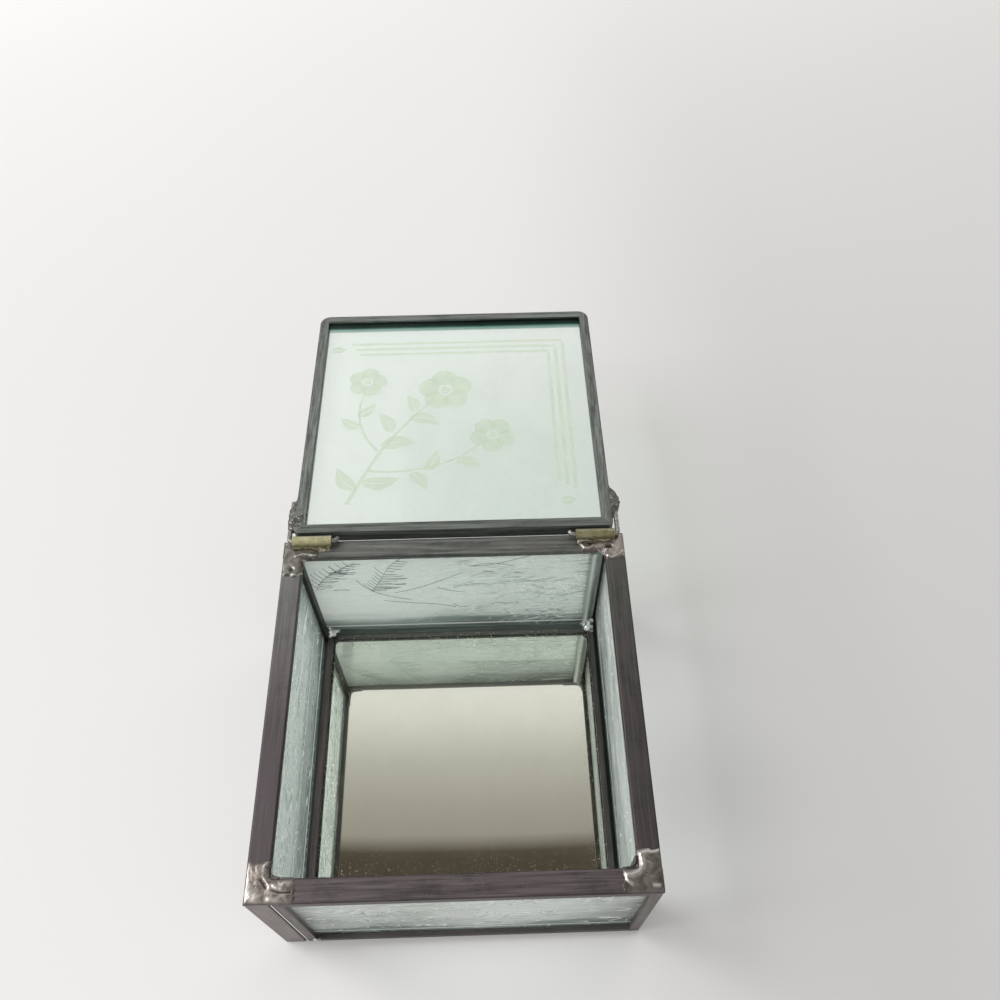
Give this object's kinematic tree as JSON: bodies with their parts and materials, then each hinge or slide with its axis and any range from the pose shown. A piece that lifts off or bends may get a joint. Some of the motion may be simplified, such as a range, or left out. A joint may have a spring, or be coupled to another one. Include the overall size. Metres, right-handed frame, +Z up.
{
  "type": "glass casket box",
  "caption": "Square casket box of textured glass in soldered metal channel, with a mirror floor and a clear glass lid on wire and tube hinges, standing open.",
  "frame": {"origin": "middle of the base, on the surface the box rests on", "axes": "+X to the right across the front, +Y from the front to the hinge side, +Z up; the lid stands open at rest, beyond the back wall"},
  "size_m": [0.1024, 0.1987, 0.0567],
  "materials": {
    "textured_glass": "pale aqua-green sheet glass with pressed streaks",
    "lid_glass": "clear glass with a frosted etching",
    "mirror": "silvered mirror glass",
    "channel": "lead channel with a brushed dark grey patina",
    "solder": "lumpy tin and lead solder, bright on the high spots",
    "tube_brass": "dull olive brass",
    "wire": "tinned wire"
  },
  "bodies": {
    "box": {"front_glass": "textured_glass", "back_glass": "textured_glass", "left_glass": "textured_glass", "right_glass": "textured_glass", "front_top_came": "channel", "front_bottom_came": "channel", "front_left_came": "channel", "front_right_came": "channel", "back_top_came": "channel", "back_bottom_came": "channel", "back_left_came": "channel", "back_right_came": "channel", "left_top_came": "channel", "left_bottom_came": "channel", "left_front_came": "channel", "left_back_came": "channel", "right_top_came": "channel", "right_bottom_came": "channel", "right_front_came": "channel", "right_back_came": "channel", "floor_mirror": "mirror", "floor_came": "channel", "front_left_solder": "solder", "front_right_solder": "solder", "back_left_solder": "solder", "back_right_solder": "solder", "floor_solder": "solder", "foot_solder": "solder", "left_tube": "tube_brass", "right_tube": "tube_brass", "left_tube_solder": "solder", "right_tube_solder": "solder"},
    "lid": {"lid_glass": "lid_glass", "lid_came": "channel", "lid_back_came": "channel", "left_wire": "wire", "right_wire": "wire", "left_arm_solder": "solder", "right_arm_solder": "solder"}
  },
  "joints": [
    {"name": "lid_hinge", "type": "hinge", "parent": "box", "child": "lid", "pos_m": [0, 0.0497, 0.05515], "axis": [1, 0, 0], "range_deg": [0, 183.5]}
  ]
}
